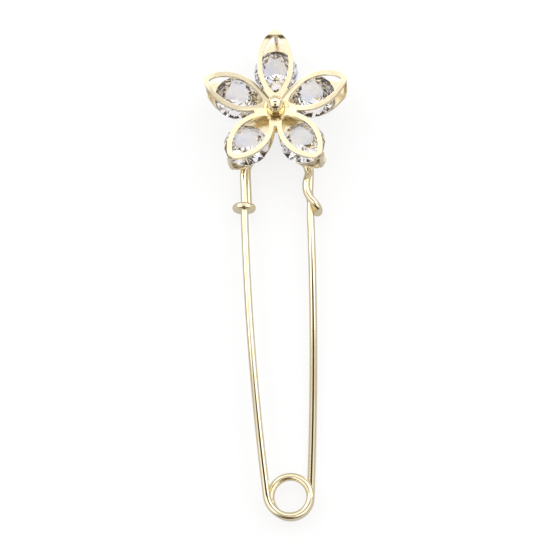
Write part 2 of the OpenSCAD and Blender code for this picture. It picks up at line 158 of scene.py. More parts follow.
def tube(path, radii, sides):
    """A round profile carried along a path:
    point = path(u) + radius(u) * (cos v * normal(u) + sin v * side(u)).
    Both ends are closed with a flat face. Gives points, faces and each corner's place round and along."""
    path, radii = np.asarray(path, float), np.asarray(radii, float)
    _, n, b = carried_frames(path)
    a = 2 * np.pi * np.arange(sides) / sides
    ring = np.cos(a)[None, :, None] * n[:, None] + np.sin(a)[None, :, None] * b[:, None]
    points = path[:, None] + radii[:, None, None] * ring
    count = len(path)
    i, k = np.meshgrid(np.arange(count - 1), np.arange(sides), indexing="ij")
    i, k = i.ravel(), k.ravel()
    k2 = (k + 1) % sides
    quads = np.stack([i * sides + k, i * sides + k2, (i + 1) * sides + k2, (i + 1) * sides + k], 1)
    along = np.concatenate([[0], np.cumsum(np.linalg.norm(np.diff(path, axis=0), axis=1))])
    turn = 2 * np.pi * radii.max() / sides
    uv = np.stack([np.stack([k * turn, (k + 1) * turn, (k + 1) * turn, k * turn], 1),
                   np.stack([along[i], along[i], along[i + 1], along[i + 1]], 1)], 2)
    ends = [list(range(sides - 1, -1, -1)), list(range((count - 1) * sides, count * sides))]
    cap_uv = [[(0.0, 0.0)] * sides, [(0.0, along[-1])] * sides]
    faces = quads.tolist() + ends
    flat_uv = np.concatenate([uv.reshape(-1, 2)] + [np.array(c) for c in cap_uv])
    return points.reshape(-1, 3), faces, flat_uv


def revolved(profile, sides, place):
    """A profile of (radius, height) pairs turned round the axis z: point = (r cos v, r sin v, h).
    Where the profile starts or ends on the axis, the pole is one point. A profile away from the axis joins
    its own start."""
    profile = np.asarray(profile, float)
    a = 2 * np.pi * np.arange(sides) / sides
    r, h = profile[:, 0], profile[:, 1]
    closed = r[0] > 1e-9
    inner = slice(None) if closed else slice(1, -1)
    rows = np.stack([r[inner, None] * np.cos(a), r[inner, None] * np.sin(a),
                     np.repeat(h[inner, None], sides, 1)], 2)
    count = len(rows)
    span = count if closed else count - 1
    i, k = np.meshgrid(np.arange(span), np.arange(sides), indexing="ij")
    i, k = i.ravel(), k.ravel()
    i2, k2 = (i + 1) % count, (k + 1) % sides
    faces = np.stack([i * sides + k, i * sides + k2, i2 * sides + k2, i2 * sides + k], 1).tolist()
    verts = rows.reshape(-1, 3)
    if not closed:
        verts = np.vstack([verts, [[0, 0, h[0]], [0, 0, h[-1]]]])
        low, high, last = len(verts) - 2, len(verts) - 1, (count - 1) * sides
        faces += [[low, (j + 1) % sides, j] for j in range(sides)]
        faces += [[high, last + j, last + (j + 1) % sides] for j in range(sides)]
    return place(verts), faces


def smooth_step(t):
    """Eases from 0 to 1: three t squared less two t cubed."""
    t = np.clip(t, 0, 1)
    return t * t * (3 - 2 * t)


# The bent wire
def coil_point(a):
    """A helix. Its radius grows by the square of the lead towards the leg, and each turn drops by a pitch."""
    lead = np.maximum(0, (START_ANGLE + LEAD_ANGLE - a) / LEAD_ANGLE)
    r = COIL_R + COIL_LEAD * lead ** 2
    rad = np.radians(a)
    z = Z_BACK + COIL_PITCH * (TOP_ANGLE - a) / 360
    return np.stack([COIL_X + r * np.cos(rad), -PIN_LEN + r * np.sin(rad), z], -1)


def leg_point(t):
    """A straight line with a parabola's bow to the left; its height eases from the coil to the stop bead."""
    low = coil_point(np.array(START_ANGLE))
    x = low[0] + (X_UPPER - low[0]) * t - 4 * LEG_BOW * t * (1 - t)
    y = low[1] + (BEAD_FOOT - low[1]) * t
    z = low[2] + (Z_UPPER - low[2]) * smooth_step(t)
    return np.stack([x, y, z], -1)


def needle_point(t):
    """The same on the right, from the coil's lowest turn up to the level between the catch's two strands."""
    foot = coil_point(np.array(SPLIT_ANGLE))
    y = foot[1] + (TIP_Y - foot[1]) * t
    up = (y - foot[1]) / (-CATCH_DROP - foot[1])
    x = foot[0] + (NEEDLE_X - foot[0]) * t + 4 * NEEDLE_BOW * t * (1 - t)
    return np.stack([x, y, Z_BACK + STRAND_STEP * smooth_step(up)], -1)


def curve_through(points, steps):
    """A Catmull-Rom curve: each span is a cubic that meets its two points with their neighbours' slopes."""
    p = np.asarray(points, float)
    a, b, c, d = np.vstack([p[:1], p[:-2]]), p[:-1], p[1:], np.vstack([p[2:], p[-1:]])
    t = (np.arange(steps) / steps)[None, :, None]
    a, b, c, d = (v[:, None] for v in (a, b, c, d))
    q = 0.5 * (2 * b + (c - a) * t + (2 * a - 5 * b + 4 * c - d) * t ** 2 + (3 * b - a - 3 * c + d) * t ** 3)
    return np.vstack([q.reshape(-1, 3), p[-1:]])


# The catch's wire from its top round the needle and back: across and along in wire widths from where it
# meets the needle, and up in steps from strand to strand. Then the left half of an arch, in shares of its
# half width and its drop.
CATCH = np.array([
    [-0.46, 3.19, 1.93], [-0.50, 2.50, 2.00], [-0.42, 1.85, 2.00], [-0.15, 1.23, 2.00], [0.26, 0.66, 2.00],
    [0.66, 0.20, 1.90], [0.97, -0.17, 1.58], [1.11, -0.44, 1.05], [1.02, -0.55, 0.52], [0.72, -0.38, 0.12],
    [0.38, 0.06, 0.00], [0.07, 0.81, 0.00], [-0.11, 2.20, 0.00], [-0.08, 3.40, 0.00]])
ARCH = np.array([[1.00, 1.00], [0.93, 0.875], [0.77, 0.798], [0.611, 0.729], [0.515, 0.64], [0.455, 0.52],
                 [0.36, 0.36], [0.18, 0.25], [0.00, 0.22]])


def arch(left, right, drop, level):
    """The left half's rows from foot to top, then the right half's from top to foot, at one level."""
    sides = [np.column_stack([s * ARCH[:, 0], -drop * ARCH[:, 1], np.full(len(ARCH), level)])
             for s in (-left, right)]
    return np.vstack([sides[0], sides[1][-2::-1]])


def head_points():
    """The wire above the stop bead: up into an arch behind the flower, down, round the needle and back."""
    foot_y = coil_point(np.array(SPLIT_ANGLE))[1]
    at = needle_point(np.array((-CATCH_DROP - foot_y) / (TIP_Y - foot_y)))
    catch = np.column_stack([at[0] + WIRE_D * CATCH[:, 0], at[1] + WIRE_D * CATCH[:, 1],
                             Z_BACK + STRAND_STEP * CATCH[:, 2]])

    def between(x, left, drop, level):
        """One point on the way from the bead to an arch's left foot."""
        return [[x + (-left - x) * TURN_SHARE, BEAD_TOP + (-drop - BEAD_TOP) * TURN_SHARE, level]]

    run = BEAD_TOP + STRAIGHT_RUN
    up = [[X_UPPER, y, Z_UPPER] for y in (BEAD_FOOT, BEAD_TOP, run)]
    down = [[X_LOWER, y, Z_LOWER] for y in (run, BEAD_TOP, BEAD_FOOT + TAIL_OVER)]
    front = arch(ARCH_LEFT, ARCH_RIGHT, ARCH_DROP, Z_UPPER)
    behind = arch(LOW_LEFT, LOW_RIGHT, LOW_DROP, Z_BACK)[::-1]
    return np.vstack([up, between(X_UPPER, ARCH_LEFT, ARCH_DROP, Z_UPPER), front, catch, behind,
                      between(X_LOWER, LOW_LEFT, LOW_DROP, (Z_BACK + Z_LOWER) / 2), down])


def wire_path():
    """Coil, leg and head in one line, each sampled finely enough to look round."""
    coil = coil_point(np.linspace(SPLIT_ANGLE, START_ANGLE, 180))
    leg = leg_point(np.linspace(0, 1, 70))
    return np.vstack([coil, leg[1:-1], curve_through(head_points(), 8)])


def rounded_end(path, radii, length, steps=6):
    """Adds a half round to a tube's end: at the share s of its length, the last radius times the root of
    1 - s squared."""
    t = unit(path[-1:] - path[-2:-1])
    s = np.sin(np.linspace(0, 1, steps + 1)[1:] * np.pi / 2 * 0.97)
    more = path[-1:] + t * (s * length)[:, None]
    return np.vstack([path, more]), np.concatenate([radii, radii[-1] * np.sqrt(1 - s ** 2)])


def bent_wire():
    """Leg, coil, arch and catch as one round tube."""
    path = wire_path()
    verts, faces, uv = tube(path, np.full(len(path), WIRE_R), WIRE_SIDES)
    piece = new_piece("bent_wire", placed(verts), faces, "brooch", uv)
    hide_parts("pin_frame")
    return piece


def needle():
    """The needle with its long taper and blunted tip. A thinner tongue runs back inside the coil's end, so
    that the wire stays whole when the needle swings about the coil's middle."""
    tongue = coil_point(np.linspace(SPLIT_ANGLE - TONGUE_FROM, SPLIT_ANGLE - TONGUE_TO, 10))
    t = np.concatenate([np.linspace(0.0004, 0.85, 110), np.linspace(0.85, 1, 46)[1:]])
    shank = needle_point(t)
    taper = np.minimum(1, (1 - t) * (TIP_Y + PIN_LEN) / POINT_LEN)
    radii = POINT_D / 2 + (WIRE_R - POINT_D / 2) * np.sin(taper * np.pi / 2) ** 0.9
    path = np.vstack([tongue, shank])
    radii = np.concatenate([np.full(len(tongue), WIRE_R - TONGUE_THIN), radii])
    path, radii = rounded_end(path[:-2], radii[:-2], POINT_D / 2)
    verts, faces, uv = tube(path, radii, WIRE_SIDES)
    piece = new_piece("needle_wire", placed(verts), faces, "needle", uv)
    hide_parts("needle")
    return piece


# Turned pieces
def arc(cx, cy, r, a0, a1, count):
    """Points of an arc, (cx + r cos a, cy + r sin a), from angle a0 to a1 in degrees."""
    a = np.radians(np.linspace(a0, a1, count))
    return np.column_stack([cx + r * np.cos(a), cy + r * np.sin(a)])


def stop_bead():
    """A fat ring. Its profile is a half round outside, eased into slightly dished ends, and is turned round
    the wire."""
    half, big = BEAD_LEN / 2 - SKIN, BEAD_D / 2 - SKIN
    side = np.column_stack([np.linspace(BEAD_BORE, big - half, 12), np.full(12, half)])
    side[:, 1] -= BEAD_DISH * (1 - smooth_step((side[:, 0] - BEAD_BORE) / (big - half - BEAD_BORE)))
    outer = arc(big - half, 0, half, 90, -90, 25)
    profile = np.vstack([side, outer[1:-1], (side * [1, -1])[::-1]])[::-1]

    def place(v):
        """Lays the turning axis along the wire, through the bead's middle."""
        return placed(np.column_stack([-BEAD_X + v[:, 0], -CATCH_DROP - v[:, 2], Z_BEAD + v[:, 1]]))

    verts, faces = revolved(profile, TURNED_SIDES, place)
    piece = new_piece("stop_bead_ring", verts, faces, "brooch")
    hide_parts("stop_bead")
    return piece


def ball_rivet():
    """A ball, the shank below it and the peened tail behind the back plate, as one turned profile."""
    r, shank = BALL_D / 2 - SKIN / 2, SHANK_D / 2
    tail_top = Z_PLATE - SEAT_GAP
    tail = arc(0, tail_top, 1, -90, 0, 14) - [0, tail_top]
    tail = tail * [TAIL_D / 2, TAIL_H - 2 * SKIN] + [0, tail_top]
    start = math.degrees(math.asin(shank / r)) - 90
    ball = arc(0, Z_BALL, r, start, 90, 40)
    profile = np.vstack([[[0, tail[0, 1]]], tail[1:], [[shank + 2 * SKIN, tail_top]],
                         [[shank, tail_top + 5 * SKIN]], [[shank, ball[0, 1] - 5 * SKIN]],
                         ball[:-1], [[0, Z_BALL + r]]])
    verts, faces = revolved(profile, TURNED_SIDES, placed)
    piece = new_piece("ball_rivet", verts, faces, "brooch")
    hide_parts("centre_bead")
    return piece


# Plates of sheet metal
def oval_radius(beta, inset):
    """Distance from a petal's middle to its pointed oval in direction beta: where the ray meets the farther
    of two circles of radius (arc - inset), whose middles lie off to each side."""
    s, r = PETAL_OFF * np.abs(np.sin(beta)), PETAL_ARC - inset
    return np.sqrt(s ** 2 + r ** 2 - PETAL_OFF ** 2) - s


def below_oval(x, y):
    """The direction, in degrees, from the middle of an oval's upper side to a point."""
    return math.degrees(math.atan2(y + PETAL_OFF, x - PETAL_MID))


def petal_outline(tip):
    """Points of a petal's outline, seen flat: the tip's given points, from the petal's own line to where
    they meet the oval, then the oval's arc to the hub and on to its inner point, and back mirrored."""
    outer = arc(PETAL_MID, -PETAL_OFF, PETAL_ARC, below_oval(*tip[-1]), below_oval(*hub_meeting()), 37)[1:]
    half = np.vstack([tip, outer, inner_arc()[1:]])
    return np.vstack([half, half[-2:0:-1] * [1, -1]])


def round_tip():
    """The front petal's tip: an arc that touches both sides of the oval, in place of its point."""
    middle = PETAL_MID + math.sqrt((PETAL_ARC - TIP_ROUND) ** 2 - PETAL_OFF ** 2)
    return arc(middle, 0, TIP_ROUND, 0, below_oval(middle, 0), TIP_STEPS)


def blunt_tip(notch):
    """The back petal's tip: a notch of a half width, then a wide arc and the straight line that touches both
    the arc and the oval's side. The line's direction follows from the two radii and the distance between
    the two middles."""
    middle = STRAP_OUT - BLUNT_STEP - BLUNT_R
    apart = math.hypot(middle - PETAL_MID, PETAL_OFF)
    touch = below_oval(middle, 0) + math.degrees(math.acos((PETAL_ARC - BLUNT_R) / apart))
    corner = math.degrees(math.asin(notch * NOTCH_MOUTH / BLUNT_R))
    foot = [[PLATE_REACH, y] for y in np.linspace(0, notch, 4)]
    side = arc(PETAL_MID, -PETAL_OFF, PETAL_ARC, touch, touch, 1)
    return np.vstack([foot, arc(middle, 0, BLUNT_R, corner, touch, 9), side])


def hub_meeting():
    """The point where a petal's oval meets the hub's circle: the crossing of two circles."""
    far = math.hypot(PETAL_MID, PETAL_OFF)
    along = (HUB_R ** 2 - PETAL_ARC ** 2 + far ** 2) / (2 * far)
    off = math.sqrt(HUB_R ** 2 - along ** 2)
    return (along * PETAL_MID + off * PETAL_OFF) / far, (off * PETAL_MID - along * PETAL_OFF) / far


def inner_arc():
    """The stretch of a petal's oval that lies within the hub, from the hub's circle to the inner point."""
    inmost = below_oval(PETAL_MID - PETAL_LEN / 2, 0)
    return arc(PETAL_MID, -PETAL_OFF, PETAL_ARC, below_oval(*hub_meeting()), inmost, 15)


def hub_grid():
    """A petal's share of the hub, seen flat: point = (hole + t * (edge - hole)) * direction(angle), where the
    edge is the inner stretch of the petal's oval and then, up to the border between two petals, the hub's
    circle."""
    x, y = hub_meeting()
    rim = arc(0, 0, HUB_R, math.degrees(math.atan2(y, x)), 180 / PETALS, 4)[1:]
    half = np.vstack([inner_arc()[::-1], rim])
    edge = np.vstack([(half * [1, -1])[:0:-1], half])
    radius = np.hypot(edge[:, 0], edge[:, 1])
    ray = edge / radius[:, None]
    return (HOLE_R + HUB_ACROSS[:, None] * (radius - HOLE_R))[..., None] * ray


def petal_grid(outline, beta, inner):
    """One petal's ring, seen flat: point = opening edge + t * (outline - opening edge), where the opening's
    edge lies at the distance inner from the petal's middle, in the direction beta."""
    edge = np.stack([PETAL_MID + inner * np.cos(beta), inner * np.sin(beta)], -1)
    return edge + ACROSS[:, None, None] * (outline - edge)


def spread_out(beta):
    """Directions once round, moved a fifth of the way to even steps, so that no two are nearly the same."""
    turn = np.unwrap(beta)
    return 0.8 * turn + 0.2 * (turn[0] + 2 * np.pi * np.arange(len(turn)) / len(turn))


def grid_quads(rows, cols, start, closed):
    """Faces of a grid, which may close on itself in its second direction."""
    i, k = np.meshgrid(np.arange(rows - 1), np.arange(cols if closed else cols - 1), indexing="ij")
    i, k = i.ravel(), k.ravel()
    k2 = (k + 1) % cols
    corners = (i * cols + k, (i + 1) * cols + k, (i + 1) * cols + k2, i * cols + k2)
    return (start + np.stack(corners, 1)).tolist()


def turned(points, i):
    """Turns points from a petal's own directions to its place, counted from the top one round to the left."""
    a = math.pi / 2 + 2 * math.pi * i / PETALS
    c, s = math.cos(a), math.sin(a)
    return points @ np.array([[c, s, 0], [-s, c, 0], [0, 0, 1]])


def joined(sheets):
    """Points and faces of several grids. Each comes with whether it closes on itself, and its petal."""
    verts, faces, total = [], [], 0
    for grid, closed, i in sheets:
        rows, cols = grid.shape[:2]
        faces += grid_quads(rows, cols, total, closed)
        verts.append(turned(grid.reshape(-1, 3), i))
        total += rows * cols
    return placed(np.vstack(verts)), faces


def finish_sheet(piece, thickness, bevel, factor_group=None, even=True):
    """Merges the seams, gives the sheet its thickness below its upper face, and rounds its edges."""
    weld = piece.modifiers.new("seams", "WELD")
    weld.merge_threshold = SEAM_MERGE * MM
    solid = piece.modifiers.new("thickness", "SOLIDIFY")
    solid.thickness = thickness * MM
    solid.offset = -1
    solid.use_even_offset = even
    if factor_group:
        solid.vertex_group = factor_group
    edge = piece.modifiers.new("edges", "BEVEL")
    edge.width = bevel * MM
    edge.segments = 3
    edge.limit_method = "ANGLE"
    edge.angle_limit = math.radians(50)
    return piece


def dish_height(x, y):
    """Height of the front plate over its middle: it rises along each petal's own direction, the valleys
    between petals are eased by a parabola near the border, the very middle is rounded by a hyperbola, and
    the tips droop by another parabola."""
    r, th = np.hypot(x, y), np.abs(np.arctan2(y, x))
    border = math.pi / PETALS
    k = math.sin(border) / (2 * (border - VALLEY_FROM))
    rise = r * (np.cos(th) + k * np.maximum(0, th - VALLEY_FROM) ** 2 * (th <= border + 1e-6))
    droop = TIP_DROOP * np.maximum(0, rise - DROOP_FROM) ** 2
    return TILT * np.sqrt(rise ** 2 + MIDDLE_ROUND ** 2) - droop


def strap_sheet(foot_rise):
    """The folded tip's outer face: a profile line that leaves the rim's underside, turns down over its end,
    runs straight down, turns in behind the back plate and ends in a rounded claw. Gives the line, a half
    width at each of its points, set at seven lengths and softened between them, and how far the tip's lean
    has come in there."""
    out = STRAP_OUT - STRAP_INSET
    bend = out - STRAP_BEND
    top = Z_TOP + float(dish_height(STRAP_OUT - JOIN_IN, 0.0)) - JOIN_SUNK
    foot = Z_CLAW + foot_rise
    over = np.vstack([[[bend - JOIN_LAP, top]], arc(bend, top - STRAP_BEND, STRAP_BEND, 90, 0, 8)])
    down = np.column_stack([np.full(14, out), np.linspace(top - STRAP_BEND, foot + STRAP_BEND, 14)])
    under = arc(bend, foot + STRAP_BEND, STRAP_BEND, 0, -90, 8)
    claw = np.column_stack([np.linspace(bend, STRAP_OUT - FOLD_T - CLAW_LEN, 10), np.full(10, foot)])
    line = np.vstack([over, down[1:], under[1:], claw[1:]])
    s = np.concatenate([[0], np.cumsum(np.linalg.norm(np.diff(line, axis=0), axis=1))])
    s_over, s_down = s[len(over) - 1], s[len(over) + 12]
    neck, strap, end = NECK_W / 2, STRAP_W / 2, CLAW_W / 2
    keys = [0, s_over, s_over + 0.7, s_down, s[-1] - 0.5, s[-1] - 0.12, s[-1]]
    widths = [neck - 0.1, neck - 0.02, strap - 0.03, strap - 0.02, end, end - 0.08, end / 2]
    width = np.interp(s, keys, widths)
    soft = np.convolve(np.pad(width, 2, mode="edge"), [0.1, 0.2, 0.4, 0.2, 0.1], "valid")
    return line, soft, smooth_step(s / (s_over + 0.9))


def with_height(flat, height):
    """Adds a height, one number or one for each point, to a grid seen flat."""
    return np.concatenate([flat, (height + np.zeros(flat.shape[:2]))[..., None]], -1)


def front_petals():
    """The open front plate and its five folded tips, bent from one sheet. An opening's edge takes the nearer
    of its oval and a circle, blended by a high power mean. A folded tip bulges by a parabola across it."""
    outline = petal_outline(round_tip())
    beta = np.arctan2(outline[:, 1], outline[:, 0] - PETAL_MID)
    inner = (oval_radius(beta, RIM_W) ** -END_POWER + OPENING_END ** -END_POWER) ** (-1 / END_POWER)
    ring, hub = (with_height(flat, Z_TOP + dish_height(flat[..., 0], flat[..., 1]))
                 for flat in (petal_grid(outline, beta, inner), hub_grid()))
    across = np.linspace(-1, 1, 9)
    bulge = STRAP_BULGE * (1 - across ** 2) - STRAP_BULGE
    sheets, weights = [], []
    for i in range(PETALS):
        line, width, lean = strap_sheet(FOOT_RISE[i])
        y = STRAP_W * STRAP_LEAN[i] * lean[:, None] + width[:, None] * across
        x = line[:, :1] + bulge * smooth_step((line[:, 1:] - Z_CLAW) / BULGE_RUN)
        strap = np.stack([x, y, np.repeat(line[:, 1:], len(across), 1)], -1)
        sheets += [(ring, True, i), (hub, False, i), (strap, False, i)]
        weights += [np.ones(ring[..., 0].size + hub[..., 0].size),
                    np.full(strap[..., 0].size, STRAP_T / FRONT_T)]
    verts, faces = joined(sheets)
    piece = new_piece("front_petals", verts, faces, "brooch")
    group = piece.vertex_groups.new(name="sheet")
    values = np.concatenate(weights)
    for level in np.unique(values):
        group.add(np.nonzero(values == level)[0].tolist(), float(level), "REPLACE")
    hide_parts("front_frame")
    return finish_sheet(piece, FRONT_T, FRONT_EDGE, "sheet")


def back_plate():
    """The flat plate behind the stones, cut as the same flower with blunt, notched tips, and with a round
    seat in each petal: inner = the distance to a circle that lies off the petal's middle."""
    sheets = []
    for i in range(PETALS):
        outline = petal_outline(blunt_tip(STRAP_W / 2 + SEAT_GAP))
        outline[:, 1] += STRAP_W * STRAP_LEAN[i] * smooth_step((outline[:, 0] - (PLATE_REACH - 1)) / 0.8)
        beta = spread_out(np.arctan2(outline[:, 1], outline[:, 0] - PETAL_MID))
        ex, ey = STONE_RING_R + STONE_D * STONE_DRIFT[i] - PETAL_MID, STONE_D * STONE_SLIP[i]
        along = ex * np.cos(beta) + ey * np.sin(beta)
        inner = along + np.sqrt(along ** 2 - ex ** 2 - ey ** 2 + (SEAT_D / 2) ** 2)
        sheets += [(with_height(petal_grid(outline, beta, inner), Z_COLLAR), True, i),
                   (with_height(hub_grid(), Z_COLLAR), False, i)]
    verts, faces = joined(sheets)
    piece = new_piece("back_plate", verts, faces, "brooch")
    return finish_sheet(piece, SHEET_T, BACK_EDGE, even=False)


def collar():
    """The low turned collar that parts the two plates at the middle: a rectangle with four rounded corners,
    turned round the axis."""
    low, high = Z_COLLAR - COLLAR_SUNK, Z_CUP - SEAT_GAP
    out, bore = COLLAR_D / 2 - COLLAR_EDGE, HOLE_R + BORE_EDGE
    profile = np.vstack([arc(out, low + COLLAR_EDGE, COLLAR_EDGE, -90, 0, 4),
                         arc(out, high - COLLAR_EDGE, COLLAR_EDGE, 0, 90, 4),
                         arc(bore, high - BORE_EDGE, BORE_EDGE, 90, 180, 4),
                         arc(bore, low + BORE_EDGE, BORE_EDGE, 180, 270, 4)])
    verts, faces = revolved(profile, COLLAR_SIDES, placed)
    return new_piece("collar", verts, faces, "brooch")


def solder_seam():
    """Solder that ran in between the wire's arch and the back plate: a flattened round profile along the
    arch, its width swelling and shrinking by two slow waves."""
    path = curve_through(arch(ARCH_LEFT, ARCH_RIGHT, ARCH_DROP, Z_PLATE), 8)
    keep = path[(np.abs(path[:, 0]) < SEAM_REACH) & (path[:, 1] > SEAM_FOOT)]
    s = np.linspace(0, 1, len(keep))
    waves = SEAM_HALF + 0.06 * np.sin(9 * np.pi * s) + 0.04 * np.sin(23 * s + 1)
    width = waves * np.sqrt(np.sin(np.pi * (0.02 + 0.96 * s)))
    verts, faces, uv = tube(keep, np.maximum(width, 0.05), SEAM_SIDES)
    verts[:, 2] = Z_PLATE + (verts[:, 2] - Z_PLATE) * SEAM_FLAT
    return new_piece("solder_seam", placed(verts), faces, "brooch", uv)


# Materials
def node(tree, kind, x=0, y=0, **settings):
    """A new shader node at a place in the editor, with its settings."""
    made = tree.nodes.new(kind)
    made.location = (x, y)
    for key, value in settings.items():
        setattr(made, key, value)
    return made


def set_inputs(made, **values):
    """Sets a node's sockets by name; an underscore in a name stands for a space."""
    for key, value in values.items():
        made.inputs[key.replace("_", " ")].default_value = value
    return made


def polish_group():
    """Polished plating, for a place on the metal: two close tones in slow clouds, faint haze in the gloss,
    and the height of fine polishing lines that run the way the place is stretched."""
    g = bpy.data.node_groups.new("polished_plating", "ShaderNodeTree")
    number, colour, vector = ("NodeSocket" + kind for kind in ("Float", "Color", "Vector"))
    for name, kind in (("Place", vector), ("Lines", vector), ("Tone", colour), ("Deep tone", colour),
                       ("Cloud scale", number), ("Gloss", number), ("Haze", number), ("Line scale", number)):
        g.interface.new_socket(name=name, in_out="INPUT", socket_type=kind)
    for name, kind in (("Color", colour), ("Roughness", number), ("Height", number)):
        g.interface.new_socket(name=name, in_out="OUTPUT", socket_type=kind)
    come, go = node(g, "NodeGroupInput", -900), node(g, "NodeGroupOutput", 500)
    clouds = set_inputs(node(g, "ShaderNodeTexNoise", -600, 200), Detail=3)
    haze = set_inputs(node(g, "ShaderNodeTexNoise", -600, -100), Detail=5)
    lines = set_inputs(node(g, "ShaderNodeTexNoise", -600, -400), Detail=2)
    tones = node(g, "ShaderNodeMix", 200, 200, data_type="RGBA")
    spread = set_inputs(node(g, "ShaderNodeMapRange", -300, 200), From_Min=0.35, From_Max=0.7)
    rough = node(g, "ShaderNodeMath", 200, -100, operation="MULTIPLY_ADD")
    finer = node(g, "ShaderNodeMath", -750, -100, operation="MULTIPLY")
    finer.inputs[1].default_value = 3.7
    for source, target in (
            (come.outputs["Place"], clouds.inputs["Vector"]),
            (come.outputs["Cloud scale"], clouds.inputs["Scale"]),
            (clouds.outputs["Fac"], spread.inputs["Value"]),
            (spread.outputs["Result"], tones.inputs["Factor"]),
            (come.outputs["Tone"], tones.inputs["A"]),
            (come.outputs["Deep tone"], tones.inputs["B"]),
            (come.outputs["Place"], haze.inputs["Vector"]),
            (come.outputs["Cloud scale"], finer.inputs[0]),
            (finer.outputs[0], haze.inputs["Scale"]),
            (haze.outputs["Fac"], rough.inputs[0]),
            (come.outputs["Haze"], rough.inputs[1]),
            (come.outputs["Gloss"], rough.inputs[2]),
            (come.outputs["Lines"], lines.inputs["Vector"]),
            (come.outputs["Line scale"], lines.inputs["Scale"]),
            (tones.outputs["Result"], go.inputs["Color"]),
            (rough.outputs[0], go.inputs["Roughness"]),
            (lines.outputs["Fac"], go.inputs["Height"])):
        g.links.new(source, target)
    return g


POLISH = polish_group()
PALE, DEEP = (1.0, 0.905, 0.66), (0.98, 0.845, 0.575)
COOL_CLEAR, WARM_CLEAR = (0.76, 0.77, 0.88), (0.90, 0.85, 0.79)


def gold(name, gloss, haze, stretch, line_depth, lines_from="Object"):
    """Pale gold plating. stretch is how a polishing line is drawn out, and lines_from says what the lines
    follow: the piece's own shape, or the map along a wire."""
    m = bpy.data.materials.new(name)
    m.use_nodes = True
    t = m.node_tree
    shader = set_inputs(t.nodes["Principled BSDF"], Metallic=1.0)
    where = node(t, "ShaderNodeTexCoord", -1100)
    lines = set_inputs(node(t, "ShaderNodeMapping", -900, -200), Scale=stretch)
    group = set_inputs(node(t, "ShaderNodeGroup", -600, 0, node_tree=POLISH), Tone=(*PALE, 1),
                       Deep_tone=(*DEEP, 1), Gloss=gloss, Haze=haze, Cloud_scale=320, Line_scale=1.0)
    bump = set_inputs(node(t, "ShaderNodeBump", -300, -300), Strength=0.5, Distance=line_depth * MM)
    link = t.links.new
    link(where.outputs["Object"], group.inputs["Place"])
    link(where.outputs[lines_from], lines.inputs["Vector"])
    link(lines.outputs["Vector"], group.inputs["Lines"])
    link(group.outputs["Color"], shader.inputs["Base Color"])
    link(group.outputs["Roughness"], shader.inputs["Roughness"])
    link(group.outputs["Height"], bump.inputs["Height"])
    link(bump.outputs["Normal"], shader.inputs["Normal"])
    return m


def two_tones(ramp, low, high):
    """Sets a colour ramp's two stops, each a place and a colour."""
    for stop, (place, colour) in zip(ramp.color_ramp.elements, (low, high)):
        stop.position, stop.color = place, (*colour, 1)
    return ramp


def crystal():
    """Clear cut glass: a faint warm and cool drift in its colour, and a trace of haze from handling."""
    m = bpy.data.materials.new("clear_crystal")
    m.use_nodes = True
    t = m.node_tree
    shader = set_inputs(t.nodes["Principled BSDF"], Transmission_Weight=1.0, IOR=1.7)
    where = node(t, "ShaderNodeTexCoord", -900)
    drift = set_inputs(node(t, "ShaderNodeTexNoise", -700, 100), Scale=400, Detail=1)
    tint = two_tones(node(t, "ShaderNodeValToRGB", -450, 100), (0.35, COOL_CLEAR), (0.65, WARM_CLEAR))
    film = set_inputs(node(t, "ShaderNodeTexNoise", -700, -200), Scale=900)
    gloss = set_inputs(node(t, "ShaderNodeMapRange", -450, -200), To_Min=0.0, To_Max=0.02)
    link = t.links.new
    link(where.outputs["Object"], drift.inputs["Vector"])
    link(drift.outputs["Fac"], tint.inputs["Fac"])
    link(tint.outputs["Color"], shader.inputs["Base Color"])
    link(where.outputs["Object"], film.inputs["Vector"])
    link(film.outputs["Fac"], gloss.inputs["Value"])
    link(gloss.outputs["Result"], shader.inputs["Roughness"])
    return m


WIRE_GOLD = gold("gold_drawn_wire", 0.05, 0.06, (5.0, 0.25, 1.0), 0.004, lines_from="UV")
PLATE_GOLD = gold("gold_polished_plate", 0.1, 0.08, (2600, 2600, 900), 0.002)
BACK_GOLD = gold("gold_satin_plate", 0.16, 0.1, (500, 4200, 900), 0.004)
BEAD_GOLD = gold("gold_turned", 0.03, 0.04, (900, 900, 6000), 0.001)
CRYSTAL = crystal()


def dress(piece, material):
    """Gives a piece its one material."""
    piece.data.materials.clear()
    piece.data.materials.append(material)


dress(bent_wire(), WIRE_GOLD)
dress(needle(), WIRE_GOLD)
dress(stop_bead(), BEAD_GOLD)
dress(ball_rivet(), BEAD_GOLD)
dress(front_petals(), PLATE_GOLD)
dress(back_plate(), BACK_GOLD)
dress(collar(), BACK_GOLD)
dress(solder_seam(), BACK_GOLD)
for number in range(1, PETALS + 1):
    dress(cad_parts[f"stone_{number}"], CRYSTAL)


